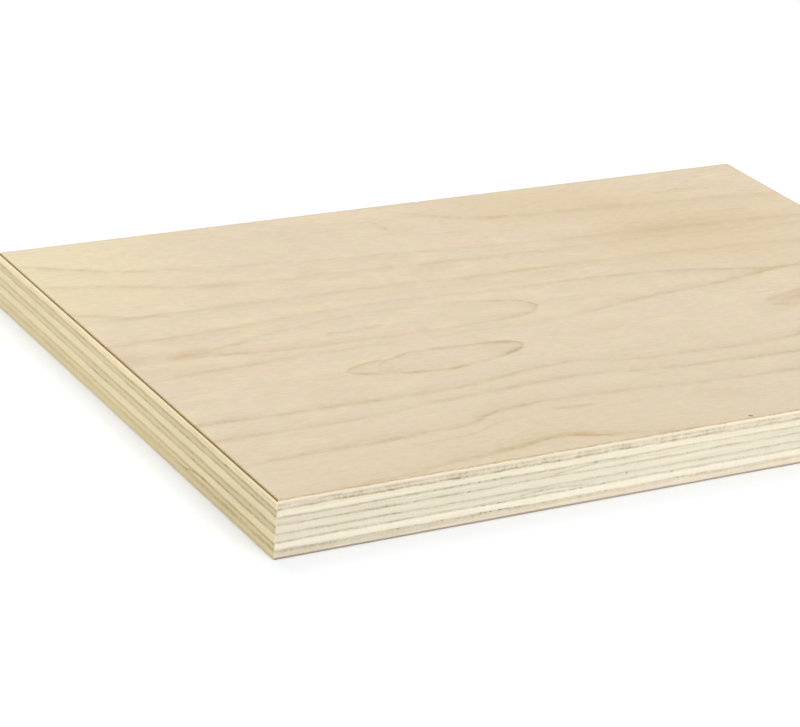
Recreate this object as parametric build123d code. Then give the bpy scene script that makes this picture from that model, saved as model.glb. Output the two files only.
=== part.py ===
from build123d import *

import os

# Plywood sheet: a sawn panel of maple-faced, veneer-core plywood, lying flat.
#
# Nine plies are glued face to face, each with its grain square to the next, in a lay-up that is
# the same above and below the centre ply. The two outer plies are thin sliced veneers, and the
# seven between them are peeled plies. The saw cuts every ply to the same outline, so the plies
# show as bands on all four edges, and both faces are sanded, which breaks their sharp rims.
#
# Frame: millimetres, X along the grain of the face, Z up, origin at the middle of the underside.

# Driving dimensions of the sheet
sheet_length = 300.0
sheet_width = 200.0
corner_radius = 0.4
sanded_rim = 0.15

# Thickness of each kind of ply, from the faces inwards
veneer_thickness = 0.6
crossband_thickness = 2.4
long_ply_thickness = 2.5
cross_ply_thickness = 2.6
centre_ply_thickness = 2.8

# The lay-up, from the underside to the face
lay_up = [
    ("back_veneer", veneer_thickness),
    ("lower_crossband", crossband_thickness),
    ("lower_long_ply", long_ply_thickness),
    ("lower_cross_ply", cross_ply_thickness),
    ("centre_ply", centre_ply_thickness),
    ("upper_cross_ply", cross_ply_thickness),
    ("upper_long_ply", long_ply_thickness),
    ("upper_crossband", crossband_thickness),
    ("face_veneer", veneer_thickness),
]


def cut_ply(underside, thickness):
    """One ply, sawn to the sheet's outline, with its underside at the given height."""
    outline = RectangleRounded(sheet_length, sheet_width, corner_radius)
    return extrude(Plane.XY.offset(underside) * outline, amount=thickness)


def sand_rim(veneer, outwards):
    """An outer veneer with the rim of its outer face broken by sanding; outwards is up or down."""
    outer_face = veneer.faces().sort_by(outwards)[-1]
    return chamfer(outer_face.edges(), sanded_rim)


def build_plies():
    """Every ply of the lay-up by name, stacked from the underside up."""
    plies = {}
    underside = 0.0
    for name, thickness in lay_up:
        plies[name] = cut_ply(underside, thickness)
        underside += thickness
    return plies


def main():
    plies = build_plies()
    plies["back_veneer"] = sand_rim(plies["back_veneer"], -Axis.Z)
    plies["face_veneer"] = sand_rim(plies["face_veneer"], Axis.Z)

    os.makedirs("parts", exist_ok=True)
    for name, ply in plies.items():
        ply.label = name
        export_step(ply, f"parts/{name}.step")


main()
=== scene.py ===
"""Looks of the plywood sheet: nine sawn plies under a flat-sliced maple face, on a pale floor.

Every ply of the frame is replaced by a finer mesh in the same place, whose walls carry the saw's fine
marks, glue lines that wander a little, and small pits and splintered spots. The materials are worked out
from the place on the sheet, in millimetres, and from the way a surface faces: a wall that cuts a ply's
grain shows end grain, and one that runs along it shows long grain.
"""

import math

import bpy
import numpy as np
from mathutils import Matrix, Vector


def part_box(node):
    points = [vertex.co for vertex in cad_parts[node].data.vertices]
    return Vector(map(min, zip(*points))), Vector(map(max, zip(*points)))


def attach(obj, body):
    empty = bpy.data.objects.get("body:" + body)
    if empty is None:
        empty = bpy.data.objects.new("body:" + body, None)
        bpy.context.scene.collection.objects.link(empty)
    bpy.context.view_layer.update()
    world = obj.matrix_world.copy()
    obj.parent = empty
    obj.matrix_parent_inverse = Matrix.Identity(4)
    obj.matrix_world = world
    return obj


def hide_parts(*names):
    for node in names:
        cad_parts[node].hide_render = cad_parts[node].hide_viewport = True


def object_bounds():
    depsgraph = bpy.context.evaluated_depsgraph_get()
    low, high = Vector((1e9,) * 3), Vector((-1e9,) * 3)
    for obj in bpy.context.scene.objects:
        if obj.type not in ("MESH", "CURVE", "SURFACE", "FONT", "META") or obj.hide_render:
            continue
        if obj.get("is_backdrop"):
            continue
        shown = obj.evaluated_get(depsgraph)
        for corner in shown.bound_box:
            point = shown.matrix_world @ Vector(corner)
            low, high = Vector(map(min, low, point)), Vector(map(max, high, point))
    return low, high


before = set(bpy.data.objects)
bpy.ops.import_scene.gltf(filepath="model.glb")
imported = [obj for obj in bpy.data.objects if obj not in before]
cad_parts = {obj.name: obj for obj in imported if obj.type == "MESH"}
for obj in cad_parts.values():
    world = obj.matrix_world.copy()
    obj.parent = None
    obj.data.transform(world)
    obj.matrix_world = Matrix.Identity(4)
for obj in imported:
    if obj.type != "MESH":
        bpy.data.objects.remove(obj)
cad_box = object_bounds()

MM = 0.001

# Camera, from the outline of the sheet in the photograph: place in metres, lens and sensor in millimetres
CAMERA_PLACE = Vector((-0.5359, -0.7765, 0.3972))
CAMERA_YAW = math.radians(31.98)
CAMERA_PITCH = math.radians(23.15)
CAMERA_ROLL = math.radians(5.14)
CAMERA_LENS = 137.3
CAMERA_SENSOR = 36.0
CAMERA_NEAR = 0.01

# Half the sheet's length and width, from the frame, and the small roundings of its outline, in millimetres
HALF_LENGTH = cad_box[1].x / MM
HALF_WIDTH = cad_box[1].y / MM
CORNER_RADIUS = 0.4

# Plies from the underside up, with the axis that each one's grain follows
GRAIN_AXIS = {
    "back_veneer": "X",
    "lower_crossband": "Y",
    "lower_long_ply": "X",
    "lower_cross_ply": "Y",
    "centre_ply": "X",
    "upper_cross_ply": "Y",
    "upper_long_ply": "X",
    "upper_crossband": "Y",
    "face_veneer": "X",
}
PLY_SLOTS = {"X": "long_grain_ply", "Y": "cross_grain_ply"}


def srgb(red, green, blue):
    """A linear colour with alpha from sRGB values of 0 to 255."""
    def linear(value):
        value /= 255
        return value / 12.92 if value <= 0.04045 else ((value + 0.055) / 1.055) ** 2.4

    return (linear(red), linear(green), linear(blue), 1.0)


# Shader wiring

# Sanded wood: roughness, gloss, and depth of its fine bump in millimetres
WOOD_ROUGHNESS = 0.62
WOOD_SPECULAR = 0.3
WOOD_BUMP_DEPTH = 0.03


class Graph:
    """A material's node tree, with short calls that return output sockets."""

    def __init__(self, name):
        self.material = bpy.data.materials.new(name)
        self.material.use_nodes = True
        self.tree = self.material.node_tree
        self.tree.nodes.clear()
        place = self.node("ShaderNodeTexCoord").outputs["Object"]
        facing = self.node("ShaderNodeNewGeometry").outputs["True Normal"]
        self.x, self.y, self.z = (self.times(part, 1 / MM) for part in self.split(place))
        self.facing_x, self.facing_y, self.facing_z = self.split(facing)

    def node(self, kind, **settings):
        made = self.tree.nodes.new(kind)
        for name, value in settings.items():
            setattr(made, name, value)
        return made

    def feed(self, socket, value):
        """Links a socket to an input, or sets a plain value on it."""
        if isinstance(value, bpy.types.NodeSocket):
            self.tree.links.new(value, socket)
        else:
            socket.default_value = value

    def math(self, operation, first, second=0.0, third=0.0, clamp=False):
        made = self.node("ShaderNodeMath", operation=operation, use_clamp=clamp)
        for socket, value in zip(made.inputs, (first, second, third)):
            self.feed(socket, value)
        return made.outputs[0]

    def split(self, vector):
        made = self.node("ShaderNodeSeparateXYZ")
        self.feed(made.inputs[0], vector)
        return list(made.outputs)

    def join(self, x, y, z=0.0):
        made = self.node("ShaderNodeCombineXYZ")
        for socket, value in zip(made.inputs, (x, y, z)):
            self.feed(socket, value)
        return made.outputs[0]

    def add(self, *values):
        total = values[0]
        for value in values[1:]:
            total = self.math("ADD", total, value)
        return total

    def times(self, first, second):
        return self.math("MULTIPLY", first, second)

    def minus(self, first, second):
        return self.math("SUBTRACT", first, second)

    def size(self, value):
        return self.math("ABSOLUTE", value)

    def length(self, first, second):
        squares = self.math("MULTIPLY_ADD", first, first, self.times(second, second))
        return self.math("SQRT", squares)

    def larger(self, first, second):
        return self.math("MAXIMUM", first, second)

    def attribute(self, name):
        return self.node("ShaderNodeAttribute", attribute_name=name).outputs["Fac"]

    def noise(self, along, across, run, width, seed, detail=2.0, roughness=0.5):
        """Noise of 0 to 1 whose features are run long and width wide, in millimetres."""
        place = self.join(self.times(along, 1 / run), self.times(across, 1 / width), seed)
        made = self.node("ShaderNodeTexNoise")
        self.feed(made.inputs["Vector"], place)
        made.inputs["Scale"].default_value = 1.0
        made.inputs["Detail"].default_value = detail
        made.inputs["Roughness"].default_value = roughness
        return made.outputs["Fac"]

    def wander(self, along, across, run, width, seed):
        """Noise about 0, from -0.5 to 0.5."""
        return self.minus(self.noise(along, across, run, width, seed), 0.5)

    def span(self, value, low, high, to_low=0.0, to_high=1.0, smooth=True):
        """Value from low..high to to_low..to_high, held at both ends."""
        made = self.node("ShaderNodeMapRange", clamp=True)
        made.interpolation_type = "SMOOTHSTEP" if smooth else "LINEAR"
        for name, number in (("Value", value), ("From Min", low), ("From Max", high),
                             ("To Min", to_low), ("To Max", to_high)):
            self.feed(made.inputs[name], number)
        return made.outputs["Result"]

    def curve(self, value, points):
        """A smooth curve through points of (value, result), in their own units."""
        first, last = points[0][0], points[-1][0]
        results = [result for _, result in points]
        lowest = min(results)
        reach = max(results) - lowest
        made = self.node("ShaderNodeFloatCurve")
        line = made.mapping.curves[0]
        for _ in range(len(points) - len(line.points)):
            line.points.new(0.5, 0.5)
        for point, (at, result) in zip(line.points, points):
            point.location = ((at - first) / (last - first), (result - lowest) / reach)
        made.mapping.update()
        self.feed(made.inputs["Value"], self.span(value, first, last, smooth=False))
        return self.math("MULTIPLY_ADD", made.outputs[0], reach, lowest)

    def mix(self, share, first, second, blend="MIX"):
        made = self.node("ShaderNodeMix", data_type="RGBA", blend_type=blend, clamp_factor=True)
        self.feed(made.inputs[0], share)
        self.feed(made.inputs[6], first)
        self.feed(made.inputs[7], second)
        return made.outputs[2]

    def between(self, share, first, second):
        """A number that goes from first to second as share goes from 0 to 1."""
        return self.add(self.times(first, self.minus(1.0, share)), self.times(second, share))

    def shade(self, colour, amount):
        """The colour made lighter or darker by a factor."""
        return self.mix(1.0, colour, self.join(amount, amount, amount), blend="MULTIPLY")

    def surface(self, colour, height):
        """Ends the tree in a sanded wood shader with a fine bump."""
        bump = self.node("ShaderNodeBump")
        bump.inputs["Distance"].default_value = WOOD_BUMP_DEPTH * MM
        self.feed(bump.inputs["Height"], height)
        shader = self.node("ShaderNodeBsdfPrincipled")
        self.feed(shader.inputs["Base Color"], colour)
        shader.inputs["Roughness"].default_value = WOOD_ROUGHNESS
        shader.inputs["Specular IOR Level"].default_value = WOOD_SPECULAR
        self.tree.links.new(bump.outputs[0], shader.inputs["Normal"])
        out = self.node("ShaderNodeOutputMaterial")
        self.tree.links.new(shader.outputs[0], out.inputs["Surface"])
        return self.material


# Maple face

FACE_BASE = srgb(221, 206, 178)
FACE_TAN = srgb(219, 200, 167)
# A darker tone for a patch at the back left and for painted shade over the front of the face
FACE_TONE_AND_SHADE = srgb(219, 204, 178)
FACE_PINK = srgb(227, 205, 184)
FACE_YELLOW = srgb(232, 218, 184)
FACE_LINE = srgb(189, 168, 127)
FACE_BROWN = srgb(186, 154, 102)
CUT_BROWN = srgb(152, 120, 56)
PIT_BROWN = srgb(126, 98, 62)

# Growth lines that cross the sheet: width, darkness along the sheet, then (along, across) points, in
# millimetres
GROWTH_LINES = [
    (
        1.3,
        [(-150, 0.35), (-95, 0.7), (-75, 0.8), (-62, 1.05), (-44, 1.0), (-30, 0.8), (-15, 0.6),
         (150, 0.45)],
        [(-150, -101), (-110, -98), (-93, -95.8), (-76, -94), (-64, -92.5), (-55, -90.8), (-49, -90.2),
         (-43, -91.2), (-33, -94.6), (-22, -97), (-12, -99.5), (40, -103), (150, -100)],
    ),
    (
        1.1,
        [(-150, 0.6), (-122, 0.6), (-112, 0.95), (-104, 0.6), (-93, 0.9), (-84, 0.5), (-70, 0.45),
         (-63, 1.0), (-50, 0.95), (-42, 0.8), (-34, 0.4), (-22, 0.5), (-14, 0.65), (8, 0.4), (60, 0.6),
         (150, 0.7)],
        [(-150, -76.3), (-110, -75.2), (-75, -74), (-61, -69.5), (-42, -67), (-10, -68.2), (20, -71),
         (60, -73), (150, -76)],
    ),
    (
        1.1,
        [(-150, 0.6), (-120, 0.65), (-100, 0.5), (-60, 0.6), (-20, 0.7), (20, 0.5), (60, 0.7), (150, 0.6)],
        [(-150, -59.2), (-100, -58.7), (-72, -56), (-45, -54.5), (-25, -53.2), (0, -56), (30, -58.7),
         (65, -60.2), (150, -58)],
    ),
    (
        1.1,
        [(-150, 0.75), (-100, 0.7), (-60, 0.65), (-20, 0.6), (20, 0.5), (55, 0.55), (72, 0.9), (150, 0.6)],
        [(-150, -47), (-100, -48.5), (-68, -49), (-42, -46), (-18, -43.4), (0, -46.6), (25, -49.3),
         (60, -50), (80, -46), (150, -38)],
    ),
    (
        1.5,
        [(-150, 0.1), (-140, 0.7), (-125, 0.6), (-90, 0.5), (-40, 0.4), (5, 0.4), (18, 0.65),
         (32, 0.4), (150, 0.4)],
        [(-150, 43), (-141, 38), (-134, 34.2), (-95, 33.6), (-50, 32.6), (0, 30.1), (40, 29.5), (85, 27.5),
         (125, 24.5), (150, 23)],
    ),
    (
        1.6,
        [(-150, 0.0), (-140, 0.5), (-100, 0.5), (-60, 0.3), (-26, 0.35), (-14, 0.6), (0, 0.4),
         (90, 0.3), (150, 0.3)],
        [(-150, 67), (-125, 60), (-95, 51), (-75, 48.8), (-30, 46.8), (0, 45), (40, 43.7),
         (90, 42.4), (150, 38)],
    ),
    (
        1.5,
        [(-150, 0.0), (-141, 0.6), (-126, 0.6), (-100, 0.35), (-40, 0.35), (40, 0.38),
         (85, 0.5), (150, 0.45)],
        [(-150, 87), (-128, 75.8), (-112, 70), (-70, 63), (-45, 58.8), (0, 55.6), (30, 52.4),
         (75, 49.7), (150, 44.5)],
    ),
    (
        1.6,
        [(-150, 0.1), (-8, 0.15), (5, 0.5), (30, 0.65), (60, 0.5), (78, 0.5), (100, 0.4),
         (125, 0.4), (150, 0.15)],
        [(-150, 130), (-20, 112), (-4, 96), (3, 90), (12, 84.2), (25, 79), (60, 75), (100, 71.7),
         (125, 69.5), (150, 67)],
    ),
]
# Growth lines that close on themselves: the same, with darkness of the inside, middle line and half width
GROWTH_LOOPS = [
    (
        1.2,
        [(-150, 0.5), (-110, 0.45), (-60, 0.35), (10, 0.32), (38, 0.6), (70, 0.6), (98, 0.85), (150, 0.6)],
        0.0,
        [(-150, 0.5), (-110, 2.5), (-50, 4.5), (0, 3.5), (50, 5.5), (101, 4), (150, 5)],
        [(-150, 14.5), (-110, 14), (-50, 15.5), (0, 13.8), (40, 10.5), (75, 6), (92, 2.6), (101, 0.4),
         (125, -0.2), (150, -4)],
    ),
    (
        1.1,
        [(-150, 0.1), (-122, 0.2), (-115, 0.7), (-105, 0.5), (-60, 0.33), (-20, 0.4), (-2, 0.9), (6, 0.9)],
        0.0,
        [(-128, 0), (-110, 1), (-90, 2.5), (-60, 4), (-30, 3.6), (-10, 2.4), (2, 2)],
        [(-150, -6), (-128, 0), (-110, 4), (-90, 7.5), (-50, 10), (-30, 9.2), (-12, 7.4),
         (-4, 5.4), (-0.5, 2.6), (3, -2), (6, -6)],
    ),
    (
        0.9,
        [(-100, 0.6), (-76, 0.6), (-65, 1.0), (-58, 0.75), (-52, 1.0), (-40, 0.7), (-29, 1.2), (-22, 1.35),
         (-16, 1.2)],
        0.14,
        [(-76, -29), (-66, -27.2), (-53, -27.3), (-43, -26.6), (-35, -26.2), (-29, -25.6), (-21, -25.2)],
        [(-90, -9), (-76.5, -0.6), (-74.5, 2.6), (-71, 5.0), (-66, 6.5), (-53, 7.8), (-43, 6.6), (-35, 5.8),
         (-29, 4.4), (-24, 2.7), (-22, 1.5), (-20.6, -0.6), (-16, -7)],
    ),
    (
        0.8,
        [(-100, 0.8), (-84, 0.95), (-78, 0.7), (-72, 0.5), (-68, 0.0), (-60, 0.0)],
        0.0,
        [(-87, -27), (-77, -27), (-66, -27.2)],
        [(-100, -9), (-87.4, -0.6), (-85.5, 1.6), (-83, 2.8), (-77, 4.6), (-66, 6.6), (-60, 7.2)],
    ),
    (
        1.4,
        [(60, 0.5), (80, 0.6), (92, 0.4), (150, 0.4)],
        0.4,
        [(80, -22.5), (97, -21), (115, -19.5), (150, -18)],
        [(60, -12), (79.5, -0.5), (81.5, 2.2), (84, 3.2), (88, 4), (97, 5), (115, 6.5),
         (135, 5.5), (150, 3)],
    ),
]
# Short dark marks and smudges between the growth lines: start, end, half width and darkness
SHORT_MARKS = [
    ((-94, -81), (-72, -79.8), 1.7, 0.75),
    ((-72, -79.8), (-61, -76), 1.7, 0.55),
    ((-61, -76), (-50, -73.8), 1.7, 0.35),
    ((-39, -73), (-26, -73.6), 1.7, 0.7),
    ((-47, -90), (-42, -91), 2.6, 0.7),
    ((-75, -31), (-71.5, -27.5), 1.8, 0.6),
    ((-78, 1.8), (-58, 2.2), 1.8, 0.6),
    ((-14.3, 87), (-13.7, 85.5), 2.2, 0.95),
    ((-13.2, 80.5), (-12.6, 78.5), 2.2, 1.0),
    ((-14, 90), (-13, 78), 1.5, 0.35),
    ((104, 81), (126, 80), 2.4, 0.45),
    ((107, 58.5), (128, 57.5), 2.4, 0.45),
    ((110, 37), (124, 36), 2.6, 0.45),
    ((22, 65), (34, 64.5), 2.2, 0.35),
    ((72, 77), (82, 75), 5.5, 0.6),
    ((74, 52), (88, 50), 4.5, 0.5),
    ((120, 46.5), (132, 45.5), 3.0, 0.65),
    ((-142, 40), (-136, 35.5), 2.6, 1.0),
    ((-124, 35), (-119, 34.5), 1.8, 0.85),
    ((-130, 77), (-125, 74), 3.0, 1.1),
    ((-143, 83), (-138, 81), 2.0, 0.75),
    ((-133, 1), (-121, 2.5), 4.5, 0.65),
    ((14, -80), (24, -81.5), 6.0, 0.5),
    ((-30, -64), (10, -66), 2.6, 0.14),
    ((66, -48), (74, -46), 3.4, 0.5),
    ((-5, 70), (20, 68), 4.0, 0.18),
]
# Broad patches of another tone, two of them painted shade over the front of the face: colour, strength,
# centre and reach
TONE_AND_SHADE_PATCHES = [
    (FACE_YELLOW, 0.9, (-150, 85), (95, 95)),
    (FACE_TAN, 0.95, (95, 45), (80, 65)),
    # Painted shade: these two darken the front of the face, away from the light behind it
    (FACE_TONE_AND_SHADE, 0.9, (0, -120), (270, 150)),
    (FACE_TAN, 0.4, (-70, -100), (140, 60)),
    (FACE_PINK, 0.5, (-50, -27), (30, 9)),
    (FACE_BROWN, 0.25, (-128, 2), (15, 8)),
    (FACE_BROWN, 0.2, (-148, 3), (12, 9)),
    (FACE_BROWN, 0.3, (108, -20), (34, 8)),
    (FACE_BROWN, 0.18, (92, 50), (50, 13)),
    (FACE_TAN, 0.9, (52, 84), (60, 26)),
    (FACE_TONE_AND_SHADE, 0.5, (-55, 82), (45, 18)),
]
# Darkness across a growth line, in millimetres, from its firm outer side to its softer inner side
LINE_PROFILE = [(-3.0, 0.0), (-1.6, 0.08), (-0.8, 0.48), (0.0, 1.0), (0.9, 0.66), (2.0, 0.32), (4.5, 0.1),
                (9.0, 0.0)]
# Spots where growth lines turn brown: centre and reach
BROWN_SPOTS = [((-42, -92), (32, 10)), ((100, -21), (30, 10)), ((-127, 2), (16, 9))]
# Pin knot: its two ends, the distances over which it fades, its darkness and its depth in the bump
PIN_KNOT = ((17.0, -98.0), (17.4, -98.2))
PIN_FADE = (0.25, 0.8)
PIN_DARKNESS = 0.8
PIN_DEPTH = 3.0
# Clouds of tone in sanded maple: colour, run along and width across the sheet, seed of the noise, the range
# of it that brings the tone in, and strength
MAPLE_CLOUDS = [
    (FACE_TAN, 60, 20, 1.0, (0.38, 0.68), 0.45),
    (FACE_PINK, 12, 6, 2.0, (0.38, 0.68), 0.75),
    (FACE_YELLOW, 18, 9, 5.0, (0.42, 0.72), 0.5),
]
# How strongly growth lines, streaks and flecks darken the maple
LINE_STRENGTH = 0.62
STREAK_STRENGTH = 0.2
FLECK_STRENGTH = 0.2
# How far growth lines wander and tremble, in millimetres, and over how many widths a loop's inside darkens
LINE_DRIFT = 2.2
LINE_TREMBLE = 1.5
LOOP_FADE = 3.0
# How much further short marks wander, and their tremble and firm core as shares of their half width
MARK_DRIFT = 3.0
MARK_TREMBLE = 0.8
MARK_CORE = 0.4
# Bruised rim of a face, with painted shade along its edge, and dark line along its cut ends: the bands over
# which they come in, in millimetres from the edge, and their strength from front to back
BRUISE_AND_SHADE_BAND = (-1.1, -0.2)
BRUISE_AND_SHADE_STRENGTH = (0.9, 0.45)
CUT_BAND = (-0.6, -0.1)
CUT_REACH = (-60, 80)
CUT_STRENGTH = (0.8, 0.55)
# Heart of the underside's figure, how far its lines are drawn out along the sheet, their spacing, how far
# they wander and their darkness
BACK_HEART = (60.0, -18.0)
BACK_STRETCH = 0.14
BACK_SPACING = 12.0
BACK_DRIFT = 14.0
BACK_DARKNESS = 0.5


def distance_to_mark(graph, across, start, end):
    """Distance in millimetres from a short mark on the face, which bends with the grain."""
    run_x, run_y = end[0] - start[0], end[1] - start[1]
    square = run_x ** 2 + run_y ** 2
    from_x, from_y = graph.minus(graph.x, start[0]), graph.minus(across, start[1])
    along = graph.add(graph.times(from_x, run_x / square), graph.times(from_y, run_y / square))
    share = graph.math("ADD", along, 0.0, clamp=True)
    gap_x = graph.math("MULTIPLY_ADD", share, -run_x, from_x)
    gap_y = graph.math("MULTIPLY_ADD", share, -run_y, from_y)
    return graph.length(gap_x, gap_y)


def spot(graph, centre, reach):
    """A soft spot on the face, 1 at its centre and 0 from its reach outwards."""
    away_x = graph.times(graph.minus(graph.x, centre[0]), 1 / reach[0])
    away_y = graph.times(graph.minus(graph.y, centre[1]), 1 / reach[1])
    return graph.span(graph.length(away_x, away_y), 0.0, 1.0, 1.0, 0.0)


def line_strength(graph):
    """How strong a growth line is from place to place."""
    fade = graph.span(graph.noise(graph.x, graph.y, run=12, width=7, seed=21.0), 0.32, 0.66, 0.45, 1.15)
    beads = graph.span(graph.noise(graph.x, graph.y, run=2.2, width=1.1, seed=23.0), 0.3, 0.7, 0.75, 1.25)
    return graph.times(fade, beads)


def growth_figure(graph):
    """Darkness of the growth lines of the flat-sliced face, from 0 to about 1."""
    drift = graph.wander(graph.x, graph.y, run=26, width=9, seed=3.1)
    tremble = graph.wander(graph.x, graph.y, run=2.6, width=1.6, seed=7.7)
    across = graph.add(graph.y, graph.times(drift, LINE_DRIFT), graph.times(tremble, LINE_TREMBLE))
    figure = 0.0
    for width, darkness, points in GROWTH_LINES:
        gap = graph.minus(across, graph.curve(graph.x, points))
        to_heart = 1 / width if points[0][1] < 0 else -1 / width
        dark = graph.curve(graph.times(gap, to_heart), LINE_PROFILE)
        figure = graph.larger(graph.times(dark, graph.curve(graph.x, darkness)), figure)
    for width, darkness, inside, middle, half_width in GROWTH_LOOPS:
        gap = graph.size(graph.minus(across, graph.curve(graph.x, middle)))
        inwards = graph.times(graph.minus(graph.curve(graph.x, half_width), gap), 1 / width)
        dark = graph.curve(inwards, LINE_PROFILE)
        figure = graph.larger(graph.times(dark, graph.curve(graph.x, darkness)), figure)
        figure = graph.larger(graph.span(inwards, 0.0, LOOP_FADE, 0.0, inside), figure)
    for start, end, half_width, darkness in SHORT_MARKS:
        gap = distance_to_mark(graph, graph.add(across, graph.times(drift, MARK_DRIFT)), start, end)
        gap = graph.add(gap, graph.times(tremble, MARK_TREMBLE * half_width))
        figure = graph.larger(graph.span(gap, -MARK_CORE * half_width, half_width, darkness, 0.0), figure)
    return graph.times(figure, line_strength(graph))


def back_figure(graph):
    """Darkness of the growth lines of the underside, nested round a long heart."""
    drift = graph.wander(graph.x, graph.y, run=70, width=22, seed=41.0)
    tremble = graph.wander(graph.x, graph.y, run=2.6, width=1.6, seed=43.0)
    from_heart_x = graph.times(graph.minus(graph.x, BACK_HEART[0]), BACK_STRETCH)
    from_heart = graph.length(from_heart_x, graph.minus(graph.y, BACK_HEART[1]))
    level = graph.add(from_heart, graph.times(drift, BACK_DRIFT), graph.times(tremble, LINE_TREMBLE))
    past_line = graph.times(graph.math("FRACT", graph.times(level, 1 / BACK_SPACING)), -BACK_SPACING)
    dark = graph.curve(graph.add(past_line, LINE_PROFILE[-1][0]), LINE_PROFILE)
    return graph.times(graph.times(dark, BACK_DARKNESS), line_strength(graph))


def maple_ground(graph):
    """Colour of the sanded maple between its growth lines."""
    colour = FACE_BASE
    for tone, run, width, seed, (low, high), strength in MAPLE_CLOUDS:
        cloud = graph.noise(graph.x, graph.y, run, width, seed=seed, detail=3)
        colour = graph.mix(graph.span(cloud, low, high, 0.0, strength), colour, tone)
    return colour


def maple_rim(graph, colour):
    """The colour with bruises and painted shade round a face's rim and the dark line along its two cut ends.
    """
    x, y = graph.x, graph.y
    from_ends = graph.minus(graph.size(x), HALF_LENGTH)
    from_rim = graph.larger(from_ends, graph.minus(graph.size(y), HALF_WIDTH))
    # Painted shade along the face's rim, broken up like bruises
    bruises_and_shade = graph.noise(x, y, run=1.7, width=1.3, seed=19.0, detail=4, roughness=0.6)
    bruises_and_shade = graph.times(graph.span(bruises_and_shade, 0.42, 0.66, 0.25, 1.0),
                          graph.span(y, 0.0, HALF_WIDTH, *BRUISE_AND_SHADE_STRENGTH))
    colour = graph.mix(graph.times(graph.span(from_rim, *BRUISE_AND_SHADE_BAND), bruises_and_shade), colour, FACE_BROWN)
    cut_ends = graph.times(graph.span(from_ends, *CUT_BAND), graph.span(y, *CUT_REACH, *CUT_STRENGTH))
    return graph.mix(cut_ends, colour, CUT_BROWN)


def maple_colour(graph, ground, figure, line_tone):
    """Colour and fine height of a sanded maple face."""
    x, y = graph.x, graph.y
    streak = graph.noise(x, y, run=22, width=1.3, seed=9.0, detail=4, roughness=0.6)
    fibre = graph.noise(x, y, run=5, width=0.22, seed=11.0, detail=3, roughness=0.6)
    mottle = graph.noise(x, y, run=4.0, width=1.8, seed=15.0, detail=4, roughness=0.65)
    flecks = graph.span(graph.noise(x, y, run=2.4, width=0.2, seed=13.0, detail=1), 0.66, 0.8)
    colour = graph.mix(graph.span(streak, 0.5, 0.8, 0.0, STREAK_STRENGTH), ground, FACE_LINE)
    colour = graph.mix(graph.times(figure, LINE_STRENGTH), colour, line_tone)
    colour = graph.mix(graph.times(flecks, FLECK_STRENGTH), colour, FACE_LINE)
    colour = maple_rim(graph, colour)
    tone = graph.add(graph.span(fibre, 0.2, 0.8, 0.975, 1.02),
                     graph.span(mottle, 0.25, 0.75, -0.038, 0.038))
    return graph.shade(colour, tone), fibre


def face_colour(graph):
    """Colour and fine height of the face, with its patches, some of them painted shade, and its growth
    lines.
    """
    ground = maple_ground(graph)
    for tone, strength, centre, reach in TONE_AND_SHADE_PATCHES:
        ground = graph.mix(graph.times(spot(graph, centre, reach), strength), ground, tone)
    brown = 0.0
    for centre, reach in BROWN_SPOTS:
        brown = graph.larger(spot(graph, centre, reach), brown)
    line_tone = graph.mix(brown, FACE_LINE, FACE_BROWN)
    colour, height = maple_colour(graph, ground, growth_figure(graph), line_tone)
    pin = graph.span(distance_to_mark(graph, graph.y, *PIN_KNOT), *PIN_FADE, 1.0, 0.0)
    colour = graph.mix(graph.times(pin, PIN_DARKNESS), colour, PIT_BROWN)
    return colour, graph.minus(height, graph.times(pin, PIN_DEPTH))


def back_colour(graph):
    """Colour and fine height of the plainer underside."""
    return maple_colour(graph, maple_ground(graph), back_figure(graph), FACE_LINE)


# Sawn edges

# Colour of the glue lines, also used for painted shade at the back veneer's foot
GLUE_AND_SHADE_TONE = srgb(156, 140, 99)
PINK_TINT = (1.0, 0.98, 0.98, 1.0)
# Pale tone of painted light: floor bounce at the foot of short walls and a highlight on the upright corners
PAINTED_LIGHT_TONE = srgb(250, 240, 216)

# Colour of each ply where the wall follows its grain, and where the wall cuts it
PLY_TONES = {
    # Painted shade: the back veneer's long-grain colour is dark for the shade where the sheet meets the
    # floor
    "back_veneer": (srgb(166, 154, 138), srgb(220, 210, 178)),
    "lower_crossband": (srgb(227, 218, 180), srgb(236, 226, 206)),
    "lower_long_ply": (srgb(248, 242, 223), srgb(225, 213, 176)),
    "lower_cross_ply": (srgb(238, 229, 197), srgb(232, 226, 207)),
    "centre_ply": (srgb(236, 229, 209), srgb(222, 211, 178)),
    "upper_cross_ply": (srgb(238, 229, 198), srgb(231, 224, 204)),
    "upper_long_ply": (srgb(241, 234, 213), srgb(221, 210, 176)),
    "upper_crossband": (srgb(254, 243, 211), srgb(239, 230, 209)),
    "face_veneer": (srgb(252, 240, 215), srgb(128, 98, 38)),
}
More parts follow.
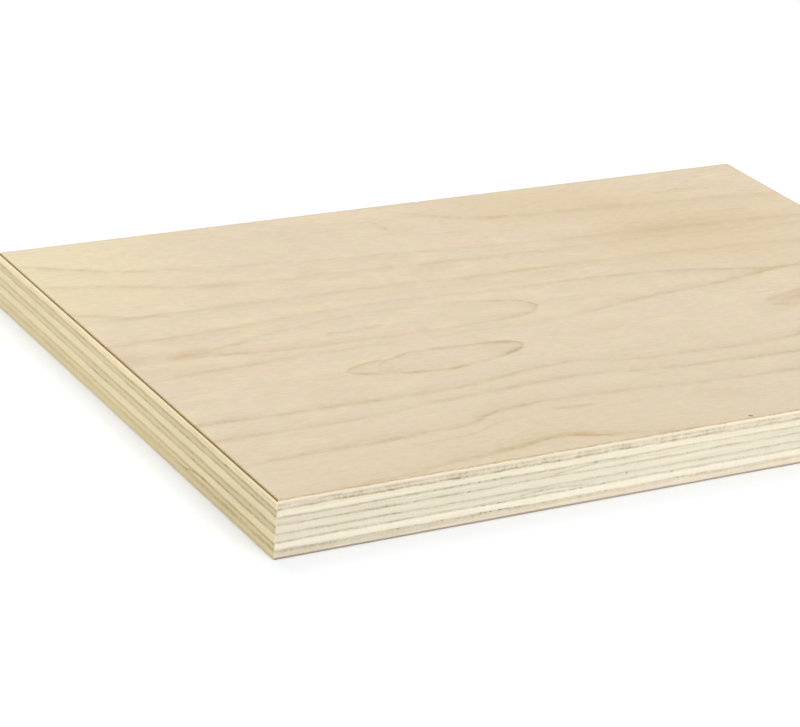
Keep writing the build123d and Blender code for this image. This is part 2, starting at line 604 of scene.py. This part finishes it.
# Darkness of the glue and of the rings beside it, and of painted shade at the back veneer's foot, up the
# share of a ply's height, where the wall cuts the grain: for plies along and across the sheet, and for plies
# that differ
END_SOAK_AND_SHADE = {
    "X": [(0.0, 0.85), (0.08, 0.7), (0.22, 0.15), (0.36, 0.0), (0.58, 0.05), (0.74, 0.75), (0.84, 0.45),
          (1.0, 0.1)],
    "Y": [(0.0, 0.75), (0.1, 0.5), (0.26, 0.1), (0.42, 0.0), (0.58, 0.0), (0.74, 0.1), (0.9, 0.5),
          (1.0, 0.75)],
    "lower_crossband": [(0.0, 0.3), (0.15, 0.1), (0.3, 0.05), (0.5, 0.18), (0.7, 0.42), (0.86, 0.55),
                        (1.0, 0.35)],
    "upper_crossband": [(0.0, 0.95), (0.09, 0.95), (0.2, 0.55), (0.34, 0.44), (0.46, 0.48), (0.58, 0.7),
                        (0.68, 0.6), (0.8, 0.15), (0.9, 0.0), (1.0, 0.0)],
    "face_veneer": [(0.0, 0.0), (1.0, 0.1)],
    # Painted shade at the back veneer's foot, where the sheet meets the floor
    "back_veneer": [(0.0, 0.2), (1.0, 0.0)],
}
# The same where the wall follows the grain
LONG_SOAK_AND_SHADE = {
    "X": [(0.0, 0.65), (0.1, 0.35), (0.22, 0.0), (0.78, 0.0), (0.9, 0.35), (1.0, 0.65)],
    "Y": [(0.0, 0.1), (0.1, 0.0), (0.75, 0.0), (0.88, 0.35), (1.0, 0.8)],
    "lower_crossband": [(0.0, 0.4), (0.2, 0.15), (0.4, 0.0), (0.55, 0.05), (0.72, 0.4), (0.9, 0.65),
                        (1.0, 0.65)],
    "upper_crossband": [(0.0, 0.4), (0.15, 0.2), (0.4, 0.35), (0.55, 0.25), (0.72, 0.0), (1.0, 0.0)],
    "upper_long_ply": [(0.0, 0.65), (0.1, 0.35), (0.22, 0.0), (0.76, 0.0), (0.86, 0.3), (0.94, 0.7),
                       (1.0, 0.9)],
    "face_veneer": [(0.0, 0.0), (0.25, 0.0), (0.55, 0.35), (0.8, 0.75), (1.0, 0.85)],
    # Painted shade at the back veneer's foot, where the sheet meets the floor
    "back_veneer": [(0.0, 0.4), (1.0, 0.0)],
}
# Strength of the glue's darkness and of the back veneer's painted shade near the near corner and away from
# it, and what the short walls lose of it
GLUE_AND_SHADE_STRENGTH = (0.84, 0.66)
SHORT_WALL_LOSS = (0.05, 0.14)
# Stretches of the long and the short walls over which a place comes to count as away from the near corner
AWAY_ALONG = (-150, 20)
AWAY_ACROSS = (-90, 30)
# How much paler walls are away from the near corner: along the grain, the same on the back veneer, where it
# fades its painted shade, end on, and painted light bounced from the floor at the foot of short walls, up to
# a height in millimetres
PALER_LONG = 0.045
PALER_BACK_VENEER = 0.2
PALER_END = 0.095
FOOT_BOUNCE_LIGHT = 0.15
BOUNCE_LIGHT_HEIGHT = 12.0
# Seed and lean of the marks that the saw leaves across all plies
KERF_SEED = 17.0
KERF_LEAN = 0.2
# How squarely a surface faces along an axis to count as a wall there, or up or down to count as a face
WALL_FACING = (0.6, 0.8)
FACE_FACING = (0.75, 0.95)
# Numbers that tell the short and the long walls apart, and how far apart their noises lie in millimetres
WALL_NUMBERS = (3.0, 5.0)
WALLS_APART = 400.0
# How far rings wander up and down in the wood, in millimetres
RING_DRIFT = 3.0
# Darkness of the pits, and the painted highlight on the sheet's rounded upright corners
PIT_DARKNESS = 0.5
CORNER_HIGHLIGHT = 0.25

# Curved rings that cross a ply on the walls beside the near corner: the axis along the wall, darkness, and
# (along, up) points, in millimetres
WALL_RINGS = {
    "lower_long_ply": [
        ("y", 1.0, [(-60, 5.3), (-51, 5.0), (-46, 4.2), (-42, 3.2), (-37, 2.8)]),
        ("y", 0.55, [(16, 5.2), (22, 4.6), (27, 3.5), (33, 3.0)]),
    ],
    "lower_cross_ply": [("x", 0.6, [(-74, 5.4), (-65, 6.5), (-57, 7.0), (-48, 6.5), (-36, 5.4)])],
    "upper_cross_ply": [("x", 0.6, [(-66, 10.9), (-56, 11.5), (-48, 12.4), (-38, 13.4)])],
    "centre_ply": [("y", 0.6, [(-45, 9.3), (-36, 9.8), (-22, 10.5)])],
}
# How far a curved ring fades to each side in millimetres, and the share of its run that is at full strength
RING_FADE = (0.05, 0.6)
RING_FULL = 0.6


def wall_rings(graph, node):
    """Darkness of a ply's curved rings."""
    dark = 0.0
    for axis, darkness, points in WALL_RINGS.get(node, []):
        place, facing = (graph.y, graph.facing_x) if axis == "y" else (graph.x, graph.facing_y)
        middle = (points[0][0] + points[-1][0]) / 2
        reach = points[-1][0] - middle
        fade = graph.span(graph.size(graph.minus(place, middle)), RING_FULL * reach, reach, darkness, 0.0)
        gap = graph.size(graph.minus(graph.z, graph.curve(place, points)))
        ring = graph.times(graph.span(gap, *RING_FADE, 1.0, 0.0), fade)
        near_wall = graph.span(facing, -WALL_FACING[1], -WALL_FACING[0], 1.0, 0.0)
        dark = graph.larger(graph.times(ring, near_wall), dark)
    return dark


def wall_place(graph):
    """How far a wall faces along the sheet, the place along it, and how far it is from the near corner.

    The first and the last go from 0 to 1, and the place is set apart for each of the four walls.
    """
    faces_x = graph.span(graph.size(graph.facing_x), *WALL_FACING)
    side = graph.add(graph.times(graph.facing_x, WALL_NUMBERS[0]),
                     graph.times(graph.facing_y, WALL_NUMBERS[1]))
    along = graph.between(faces_x, graph.x, graph.y)
    along = graph.math("MULTIPLY_ADD", graph.math("ROUND", side), WALLS_APART, along)
    far = graph.between(faces_x, graph.span(graph.x, *AWAY_ALONG), graph.span(graph.y, *AWAY_ACROSS))
    return faces_x, along, far


def wall_wood(graph, node, end_on, along, seed):
    """Colour and height of a ply's wood, long to end grain, with the back veneer's painted shade."""
    long_tone, end_tone = PLY_TONES[node]
    height = graph.z
    drift = graph.times(graph.wander(along, height, run=30, width=6, seed=seed), RING_DRIFT)
    level = graph.add(height, drift)
    ring = graph.noise(along, level, run=90, width=0.7, seed=seed + 1, detail=4, roughness=0.6)
    fibre = graph.noise(along, height, run=6, width=0.12, seed=seed + 2, detail=3, roughness=0.6)
    pores = graph.noise(along, height, run=0.45, width=0.3, seed=seed + 3, detail=3, roughness=0.7)
    long_shade = graph.add(graph.span(ring, 0.4, 0.7, 1.015, 0.94),
                           graph.span(fibre, 0.25, 0.75, 0.025, -0.025))
    end_shade = graph.add(graph.span(ring, 0.36, 0.64, 1.04, 0.92),
                          graph.span(pores, 0.25, 0.75, 0.06, -0.06))
    wood = graph.mix(end_on, graph.shade(long_tone, long_shade), graph.shade(end_tone, end_shade))
    return wood, graph.mix(end_on, fibre, pores)


def wall_soak_and_shade(graph, node, end_on, along, seed):
    """Darkness of glue, rings and the back veneer's painted shade, broken into dashes and longer spells."""
    axis = GRAIN_AXIS[node]
    share = graph.attribute("share")
    soak_and_shade = graph.mix(end_on, graph.curve(share, LONG_SOAK_AND_SHADE.get(node, LONG_SOAK_AND_SHADE[axis])),
                     graph.curve(share, END_SOAK_AND_SHADE.get(node, END_SOAK_AND_SHADE[axis])))
    dashes = graph.noise(along, graph.z, run=1.8, width=2.5, seed=seed + 5, detail=4, roughness=0.65)
    spells = graph.noise(along, graph.z, run=9, width=5, seed=seed + 6, detail=3)
    breaks = graph.times(graph.span(dashes, 0.32, 0.68, 0.5, 1.28),
                         graph.span(spells, 0.35, 0.65, 0.55, 1.1))
    return graph.times(graph.larger(soak_and_shade, wall_rings(graph, node)), breaks)


def wall_tone(graph, node, end_on, along, far, seed):
    """How light a wall is from place to place: patches, saw marks, and paler walls away from the corner."""
    patch = graph.noise(along, graph.z, run=26, width=3, seed=seed + 4)
    across_saw = graph.add(along, graph.times(graph.z, KERF_LEAN))
    kerf = graph.noise(across_saw, graph.z, run=0.6, width=9, seed=KERF_SEED, detail=3, roughness=0.7)
    tone = graph.add(graph.span(patch, 0.3, 0.7, 0.97, 1.025), graph.span(kerf, 0.25, 0.75, -0.028, 0.028))
    # On the back veneer this fades its painted shade away from the near corner
    paler_long = PALER_BACK_VENEER if node == "back_veneer" else PALER_LONG
    return graph.add(tone, graph.times(far, graph.span(end_on, 0.0, 1.0, paler_long, PALER_END)))


def wall_colour(graph, node, seed):
    """Colour and height of a ply's walls."""
    faces_x, along, far = wall_place(graph)
    end_on = faces_x if GRAIN_AXIS[node] == "X" else graph.minus(1.0, faces_x)
    colour, height = wall_wood(graph, node, end_on, along, seed)
    loss = graph.times(faces_x, graph.span(far, 0.0, 1.0, *SHORT_WALL_LOSS))
    strength = graph.minus(graph.span(far, 0.0, 1.0, *GLUE_AND_SHADE_STRENGTH), loss)
    soak_and_shade = wall_soak_and_shade(graph, node, end_on, along, seed)
    # Glue lines, and on the back veneer painted shade at its foot
    colour = graph.mix(graph.times(soak_and_shade, strength), colour, GLUE_AND_SHADE_TONE)
    colour = graph.shade(colour, wall_tone(graph, node, end_on, along, far, seed))
    blush = graph.span(graph.noise(along, graph.z, run=5, width=2.2, seed=seed + 7, detail=3), 0.4, 0.66)
    colour = graph.mix(blush, colour, graph.mix(1.0, colour, PINK_TINT, blend="MULTIPLY"))
    # Painted light bounced from the floor, lifting the foot of the short walls away from the near corner
    bounce_light = graph.times(graph.times(far, faces_x), graph.span(graph.z, 1.0, BOUNCE_LIGHT_HEIGHT, FOOT_BOUNCE_LIGHT, 0.0))
    colour = graph.mix(bounce_light, colour, PAINTED_LIGHT_TONE)
    # Painted highlight on the rounded upright corners of the sheet
    corner = graph.times(graph.size(graph.facing_x), graph.size(graph.facing_y))
    colour = graph.mix(graph.span(corner, 0.15, 0.5, 0.0, CORNER_HIGHLIGHT), colour, PAINTED_LIGHT_TONE)
    return graph.mix(graph.times(graph.attribute("pit"), PIT_DARKNESS), colour, PIT_BROWN), height


def ply_material(node, seed):
    """A ply's material: its walls and, on the two veneers, a sanded face."""
    graph = Graph(node)
    colour, height = wall_colour(graph, node, seed)
    if "veneer" in node:
        flat = graph.span(graph.size(graph.facing_z), *FACE_FACING)
        sheet_colour, sheet_height = face_colour(graph) if node == "face_veneer" else back_colour(graph)
        colour = graph.mix(flat, colour, sheet_colour)
        height = graph.mix(flat, height, sheet_height)
    return graph.surface(colour, height)


# Ply meshes

# Stations round the sheet: their spacing, the spacing near a pit or chip and how far that reaches, the least
# spacing, all in millimetres, and the steps round a corner
STATION_STEP = 0.8
FINE_STEP = 0.2
FINE_REACH = 1.6
CLOSEST_STEP = 0.6 * FINE_STEP
CORNER_STEPS = 6
# Shares of an inner ply's height at which its wall has a row of points
WALL_ROWS = (0.0, 0.06, 0.2, 0.4, 0.6, 0.8, 0.94, 1.0)
# Rows of a veneer's wall, of its sanded rim and of the flat ring inside it: share of the height and how far
# the row stands in
VENEER_ROWS = ((0.0, 0.0), (0.4, 0.0), (0.72, 0.0), (0.92, 0.04), (1.0, 0.16), (1.0, 0.34))
# Depth of the groove along a glue line and of the roughness of end grain, in millimetres
GROOVE_DEPTH = 0.05
END_GRAIN_FUZZ = 0.035
# Saw marks on the walls: pitches of three sets of waves, the depth of each and their lean up the wall
SAW_PITCHES = (1.7, 2.9, 0.9)
SAW_DEPTH = 0.008
SAW_LEAN = 0.3
# Waves of a glue line round the sheet: how many and how high for their share, how they shift from line to
# line, and how high they are inside the sheet and at the veneers, in millimetres
WAVER_WAVES = ((11, 0.5), (29, 0.35), (83, 0.2))
WAVER_SHIFT = 1.7
INNER_WAVER = 0.2
VENEER_WAVER = 0.05
# Angle from which an edge is drawn sharp
SHARP_ANGLE = math.radians(40)
# Seeds of the walls' roughness and of the materials
FUZZ_SEED = 19
FIRST_SEED = 31.0
SEED_STEP = 10.0

# Pits torn along the glue lines: wall, place along it, height, half length, half height and depth
PITS = [
    ("front", -41.0, 13.2, 1.0, 0.4, 0.4),
    ("front", -85.6, 10.7, 0.7, 0.35, 0.3),
    ("front", -29.0, 7.8, 0.6, 0.3, 0.3),
    ("front", -12.0, 5.4, 0.6, 0.3, 0.3),
    ("front", 63.0, 13.3, 1.1, 0.35, 0.35),
    ("front", 118.0, 5.7, 0.8, 0.35, 0.3),
    ("left", -67.5, 15.6, 1.2, 0.3, 0.3),
    ("left", -47.5, 8.3, 0.9, 0.3, 0.3),
    ("left", -3.8, 15.5, 0.8, 0.3, 0.3),
    ("left", 32.0, 15.6, 0.9, 0.3, 0.3),
    ("right", -58.0, 10.6, 1.0, 0.35, 0.35),
    ("right", 21.0, 5.2, 0.9, 0.3, 0.3),
    ("right", 77.0, 15.6, 0.8, 0.3, 0.3),
    ("back", -104.0, 13.2, 1.0, 0.35, 0.35),
    ("back", -22.0, 8.0, 0.8, 0.3, 0.3),
    ("back", 55.0, 16.2, 1.2, 0.35, 0.35),
    ("back", 131.0, 5.6, 0.7, 0.3, 0.3),
]
# Splinters lost from the rim of the face: wall, place along it, half length and depth
RIM_CHIPS = [
    ("front", -115.5, 0.6, 0.25),
    ("front", -76.0, 0.7, 0.3),
    ("front", -57.0, 0.8, 0.3),
    ("front", -49.0, 0.6, 0.35),
    ("front", -42.0, 0.7, 0.3),
    ("front", -6.0, 0.6, 0.25),
    ("front", 88.0, 0.8, 0.3),
    ("left", 40.0, 0.7, 0.2),
    ("left", -22.0, 0.8, 0.2),
    ("right", -35.0, 0.8, 0.25),
    ("right", 64.0, 0.6, 0.25),
    ("back", -88.0, 0.7, 0.3),
    ("back", 12.0, 0.9, 0.3),
    ("back", 97.0, 0.6, 0.25),
]
# Share of the veneer's height from which chips go up, the depth at which one is darkest, and how dark it is
CHIP_FOOT = 0.5
FULL_CHIP = 0.3
CHIP_DARKNESS = 0.8


def wall_stations(wall, half):
    """Places along a straight wall, closer together near its pits and chips."""
    marks = [mark[1] for mark in PITS + RIM_CHIPS if mark[0] == wall]
    even = np.linspace(-half, half, round(2 * half / STATION_STEP) + 1)
    near = [np.arange(mark - FINE_REACH, mark + FINE_REACH, FINE_STEP) for mark in marks]
    places = [-half]
    for place in np.sort(np.concatenate([even] + near)):
        if CLOSEST_STEP < place - places[-1] and place < half - CLOSEST_STEP:
            places.append(place)
    return np.array(places + [half])


def sheet_outline():
    """Stations round the sheet, anticlockwise from above.

    Each holds its place, its outward direction, its wall and the place along that wall.
    """
    reach_x, reach_y = HALF_LENGTH - CORNER_RADIUS, HALF_WIDTH - CORNER_RADIUS
    stations = []
    for wall, half, off, turn in (("front", reach_x, HALF_WIDTH, -90), ("right", reach_y, HALF_LENGTH, 0),
                                  ("back", reach_x, HALF_WIDTH, 90), ("left", reach_y, HALF_LENGTH, 180)):
        out = np.round((math.cos(math.radians(turn)), math.sin(math.radians(turn))))
        ahead = np.array((-out[1], out[0]))
        places = wall_stations(wall, half)
        if ahead.sum() < 0:
            places = -places[::-1]
        for place in places:
            point = ahead * place + out * off
            stations.append((*point, *out, wall, point @ np.abs(ahead)))
        centre = ahead * half + out * (off - CORNER_RADIUS)
        for step in range(1, CORNER_STEPS):
            angle = math.radians(turn + 90 * step / CORNER_STEPS)
            out_here = np.array((math.cos(angle), math.sin(angle)))
            stations.append((*(centre + out_here * CORNER_RADIUS), *out_here, "corner", 0.0))
    return stations


def waver_height(border):
    """How high the waves of a border between plies are: nothing on the two faces, little at the veneers."""
    top = len(GRAIN_AXIS)
    if border in (0, top):
        return 0.0
    return VENEER_WAVER if border in (1, top - 1) else INNER_WAVER


class Outline:
    """The sheet's outline as arrays, shared by all plies so that their borders meet."""

    def __init__(self):
        stations = sheet_outline()
        self.point = np.array([station[0:2] for station in stations])
        self.out = np.array([station[2:4] for station in stations])
        self.wall = np.array([station[4] for station in stations])
        self.along = np.array([station[5] for station in stations])
        steps = np.linalg.norm(np.roll(self.point, -1, axis=0) - self.point, axis=1)
        self.turn = 2 * np.pi * np.cumsum(steps) / steps.sum()

    def waver(self, border):
        """How far a border between plies wanders up or down at each station, in millimetres."""
        waves = [share * np.sin(count * self.turn + WAVER_SHIFT * border * (place + 1))
                 for place, (count, share) in enumerate(WAVER_WAVES)]
        return waver_height(border) * np.sum(waves, axis=0)

    def pits(self, height):
        """Depth and darkness of the torn pits at each station of a row."""
        depth = np.zeros(len(height))
        dark = np.zeros(len(height))
        for wall, along, middle, half_length, half_height, deep in PITS:
            away = ((self.along - along) / half_length) ** 2 + ((height - middle) / half_height) ** 2
            here = np.where(self.wall == wall, np.clip(1 - away, 0, 1), 0)
            depth = np.maximum(depth, here * deep)
            dark = np.maximum(dark, np.sqrt(here))
        return depth, dark

    def chips(self):
        """Depth of the splintered rim at each station."""
        depth = np.zeros(len(self.turn))
        for wall, along, half_length, deep in RIM_CHIPS:
            here = np.clip(1 - ((self.along - along) / half_length) ** 2, 0, 1)
            depth = np.maximum(depth, np.where(self.wall == wall, here * deep, 0))
        return depth


def ply_rows(outline, node, border, draw):
    """Rows of points up a ply's wall: places, share of the height and darkness of pits."""
    low, high = (corner.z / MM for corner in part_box(node))
    bottom = low + outline.waver(border)
    top = high + outline.waver(border + 1)
    grain = 0 if GRAIN_AXIS[node] == "X" else 1
    end_on = np.abs(outline.out[:, grain]) ** 2
    rows = VENEER_ROWS if "veneer" in node else [(share, 0.0) for share in WALL_ROWS]
    if node == "back_veneer":
        rows = [(1 - share, inset) for share, inset in reversed(VENEER_ROWS)]
    for share, inset in rows:
        height = bottom + share * (top - bottom)
        depth, dark = outline.pits(height)
        lean = outline.along + SAW_LEAN * height
        saw = sum(SAW_DEPTH * (1 + np.sin(2 * np.pi * lean / pitch + pitch)) for pitch in SAW_PITCHES)
        fuzz = END_GRAIN_FUZZ * draw.random(len(height)) * end_on
        groove = GROOVE_DEPTH if share in (0.0, 1.0) else 0.0
        if inset == 0.0:
            depth = depth + groove
        if groove == 0.0:
            depth = depth + saw + fuzz
        if node == "face_veneer" and share > CHIP_FOOT:
            chip = outline.chips()
            depth = depth + chip * share
            dark = np.maximum(dark, np.clip(chip / FULL_CHIP, 0, 1) * CHIP_DARKNESS)
        flat = outline.point - outline.out * (depth + inset)[:, None]
        yield np.column_stack((flat, height)), np.full(len(height), share), dark


def make_ply(outline, node, border, draw):
    """A closed slab in a ply's place, with relief on its walls."""
    places, shares, darks = (np.concatenate(part) for part in zip(*ply_rows(outline, node, border, draw)))
    count = len(outline.turn)
    levels = len(places) // count
    here = np.arange(count)
    following = np.roll(here, -1)
    faces = [tuple(here[::-1].tolist())]
    for level in range(levels - 1):
        lower, upper = level * count, (level + 1) * count
        quads = np.column_stack((here + lower, following + lower, following + upper, here + upper))
        faces += quads.tolist()
    faces.append(tuple((here + (levels - 1) * count).tolist()))
    mesh = bpy.data.meshes.new(node + "_sawn")
    mesh.from_pydata((places * MM).tolist(), [], faces)
    for name, values in (("share", shares), ("pit", darks)):
        mesh.attributes.new(name, "FLOAT", "POINT").data.foreach_set("value", values.astype(np.float32))
    mesh.shade_smooth()
    mesh.set_sharp_from_angle(angle=SHARP_ANGLE)
    piece = bpy.data.objects.new(node + "_sawn", mesh)
    bpy.context.scene.collection.objects.link(piece)
    return piece


def make_sheet():
    """The nine plies with their materials, each in the place of its node."""
    outline = Outline()
    draw = np.random.default_rng(FUZZ_SEED)
    for border, node in enumerate(GRAIN_AXIS):
        piece = make_ply(outline, node, border, draw)
        piece.data.materials.append(ply_material(node, seed=FIRST_SEED + SEED_STEP * border))
        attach(piece, "root")
        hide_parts(node)
        "maple_veneer" if "veneer" in node else PLY_SLOTS[GRAIN_AXIS[node]]


# Stage

# Strength of the even light from all round
WORLD_LIGHT = 0.5
# Distant lamps: name, direction of the light, strength and colour
LAMPS = [
    ("key", (-0.1, 0.75, -0.65), 1.2, (1.0, 1.0, 1.0)),
    ("back", (-0.12, -0.5, -0.85), 0.85, (1.0, 1.0, 1.0)),
    ("left_fill", (0.97, 0.1, -0.12), 0.8, (1.0, 0.8, 0.4)),
    ("right_fill", (-0.99, 0.0, -0.1), 0.3, (1.0, 0.8, 0.5)),
]
LAMP_SOFTNESS = math.radians(40)
# Floor: half its side in metres, its finish, and the glow that lifts it to white
FLOOR_HALF = 4.0
FLOOR_ROUGHNESS = 0.9
FLOOR_COLOUR = (0.85, 0.85, 0.85, 1.0)
FLOOR_GLOW = (0.7, 0.83, 1.0, 1.0)
FLOOR_LIFT = 0.235
# How far the floor reaches in under the sheet, and how far below it the floor lies, in millimetres
FLOOR_LAP = 1.0
FLOOR_DROP = 0.05


def make_camera():
    """The camera at the photograph's place, turned by the photograph's own roll."""
    right = Vector((math.cos(CAMERA_YAW), -math.sin(CAMERA_YAW), 0.0))
    ahead = Vector((math.sin(CAMERA_YAW), math.cos(CAMERA_YAW), 0.0)) * math.cos(CAMERA_PITCH)
    ahead.z = -math.sin(CAMERA_PITCH)
    up = right.cross(ahead)
    rolled_right = right * math.cos(CAMERA_ROLL) + up * math.sin(CAMERA_ROLL)
    rolled_up = up * math.cos(CAMERA_ROLL) - right * math.sin(CAMERA_ROLL)
    camera = bpy.data.objects.new("camera", bpy.data.cameras.new("camera"))
    camera.data.lens = CAMERA_LENS
    camera.data.sensor_width = CAMERA_SENSOR
    camera.data.clip_start = CAMERA_NEAR
    axes = Matrix((rolled_right, rolled_up, -ahead)).transposed().to_4x4()
    camera.matrix_world = Matrix.Translation(CAMERA_PLACE) @ axes
    bpy.context.scene.collection.objects.link(camera)
    bpy.context.scene.camera = camera


def make_sun(name, direction, strength, colour):
    """A distant soft lamp whose light travels along direction."""
    lamp = bpy.data.lights.new(name, "SUN")
    lamp.energy = strength
    lamp.angle = LAMP_SOFTNESS
    lamp.color = colour
    sun = bpy.data.objects.new(name, lamp)
    sun.rotation_euler = Vector(direction).to_track_quat("-Z", "Y").to_euler()
    bpy.context.scene.collection.objects.link(sun)


def seen_directly(nodes, links):
    """1 for camera, glossy and transmission rays, and 0 for the rest."""
    path = nodes.new("ShaderNodeLightPath")
    seen = path.outputs["Is Camera Ray"]
    for name in ("Is Glossy Ray", "Is Transmission Ray"):
        larger = nodes.new("ShaderNodeMath")
        larger.operation = "MAXIMUM"
        links.new(seen, larger.inputs[0])
        links.new(path.outputs[name], larger.inputs[1])
        seen = larger.outputs[0]
    return seen


def make_world():
    """Even light from all round, seen as white."""
    world = bpy.data.worlds.new("studio")
    world.use_nodes = True
    nodes, links = world.node_tree.nodes, world.node_tree.links
    strength = nodes.new("ShaderNodeMapRange")
    links.new(seen_directly(nodes, links), strength.inputs["Value"])
    strength.inputs["To Min"].default_value = WORLD_LIGHT
    strength.inputs["To Max"].default_value = 1.0
    links.new(strength.outputs["Result"], nodes["Background"].inputs["Strength"])
    nodes["Background"].inputs["Color"].default_value = (1.0, 1.0, 1.0, 1.0)
    bpy.context.scene.world = world


def make_floor():
    """A wide pale floor, lifted to white where it is seen and nothing shades it.

    It is open under the sheet, so that the underside can be looked at from below.
    """
    mesh = bpy.data.meshes.new("floor")
    corners = [(-1, -1), (1, -1), (1, 1), (-1, 1)]
    level = cad_box[0].z - FLOOR_DROP * MM
    opening = ((HALF_LENGTH - FLOOR_LAP) * MM, (HALF_WIDTH - FLOOR_LAP) * MM)
    points = [(x * half_x, y * half_y, level)
              for half_x, half_y in ((FLOOR_HALF, FLOOR_HALF), opening) for x, y in corners]
    sides = [(corner, (corner + 1) % 4, 4 + (corner + 1) % 4, 4 + corner) for corner in range(4)]
    mesh.from_pydata(points, [], sides)
    floor = bpy.data.objects.new("floor", mesh)
    bpy.context.scene.collection.objects.link(floor)
    material = bpy.data.materials.new("floor")
    material.use_nodes = True
    nodes, links = material.node_tree.nodes, material.node_tree.links
    shader = nodes["Principled BSDF"]
    shader.inputs["Base Color"].default_value = FLOOR_COLOUR
    shader.inputs["Roughness"].default_value = FLOOR_ROUGHNESS
    shader.inputs["Specular IOR Level"].default_value = 0.0
    shader.inputs["Emission Color"].default_value = FLOOR_GLOW
    lift = nodes.new("ShaderNodeMath")
    lift.operation = "MULTIPLY"
    links.new(seen_directly(nodes, links), lift.inputs[0])
    lift.inputs[1].default_value = FLOOR_LIFT
    links.new(lift.outputs[0], shader.inputs["Emission Strength"])
    mesh.materials.append(material)
    floor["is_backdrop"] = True


def light_studio():
    """The even light from all round and the lamps."""
    make_world()
    for lamp in LAMPS:
        make_sun(*lamp)


def main():
    bpy.context.scene.view_settings.view_transform = "Standard"
    make_camera()
    light_studio()
    make_floor()
    make_sheet()


main()
boxes = {"cad": cad_box, "visual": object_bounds()}
{name: [list(corner) for corner in box] for name, box in boxes.items()}
